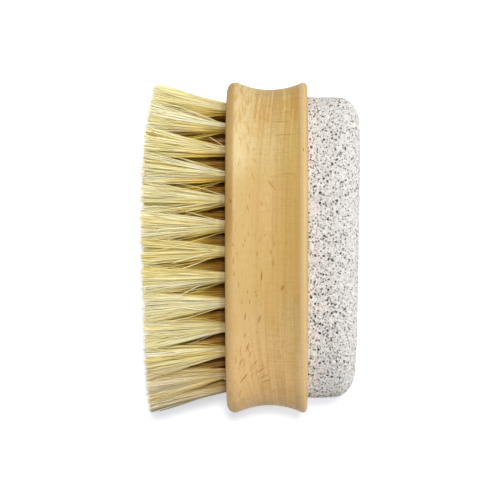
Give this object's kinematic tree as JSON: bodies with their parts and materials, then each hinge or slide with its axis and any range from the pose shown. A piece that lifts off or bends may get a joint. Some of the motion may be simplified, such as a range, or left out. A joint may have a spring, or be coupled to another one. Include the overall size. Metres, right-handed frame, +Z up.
{
  "type": "body brush",
  "caption": "Oval wooden hand brush with a finger groove round its side, splayed fibre tufts on one face and a rounded pumice stone on the other.",
  "frame": {"origin": "on the floor, below the middle of the brush's box as it lies on its long side", "axes": "+X from the tufts to the stone, +Y along the block, +Z up across the block's width"},
  "size_m": [0.0792, 0.125, 0.06],
  "materials": {
    "beech": "oiled, fine sanded",
    "pumice": "rough and porous",
    "glue": "set waterproof glue",
    "fibre": "undyed plant fibre"
  },
  "bodies": {
    "root": {"beech_block": "beech", "pumice_stone": "pumice", "glue_bed": "glue", "tuft_outer_01": "fibre", "tuft_outer_02": "fibre", "tuft_outer_03": "fibre", "tuft_outer_04": "fibre", "tuft_outer_05": "fibre", "tuft_outer_06": "fibre", "tuft_outer_07": "fibre", "tuft_outer_08": "fibre", "tuft_outer_09": "fibre", "tuft_outer_10": "fibre", "tuft_outer_11": "fibre", "tuft_outer_12": "fibre", "tuft_outer_13": "fibre", "tuft_outer_14": "fibre", "tuft_outer_15": "fibre", "tuft_outer_16": "fibre", "tuft_outer_17": "fibre", "tuft_outer_18": "fibre", "tuft_outer_19": "fibre", "tuft_outer_20": "fibre", "tuft_outer_21": "fibre", "tuft_outer_22": "fibre", "tuft_outer_23": "fibre", "tuft_outer_24": "fibre", "tuft_outer_25": "fibre", "tuft_outer_26": "fibre", "tuft_outer_27": "fibre", "tuft_middle_01": "fibre", "tuft_middle_02": "fibre", "tuft_middle_03": "fibre", "tuft_middle_04": "fibre", "tuft_middle_05": "fibre", "tuft_middle_06": "fibre", "tuft_middle_07": "fibre", "tuft_middle_08": "fibre", "tuft_middle_09": "fibre", "tuft_middle_10": "fibre", "tuft_middle_11": "fibre", "tuft_middle_12": "fibre", "tuft_middle_13": "fibre", "tuft_middle_14": "fibre", "tuft_middle_15": "fibre", "tuft_middle_16": "fibre", "tuft_middle_17": "fibre", "tuft_middle_18": "fibre", "tuft_middle_19": "fibre", "tuft_middle_20": "fibre", "tuft_inner_01": "fibre", "tuft_inner_02": "fibre", "tuft_inner_03": "fibre", "tuft_inner_04": "fibre", "tuft_inner_05": "fibre", "tuft_inner_06": "fibre", "tuft_inner_07": "fibre", "tuft_inner_08": "fibre"}
  },
  "joints": []
}
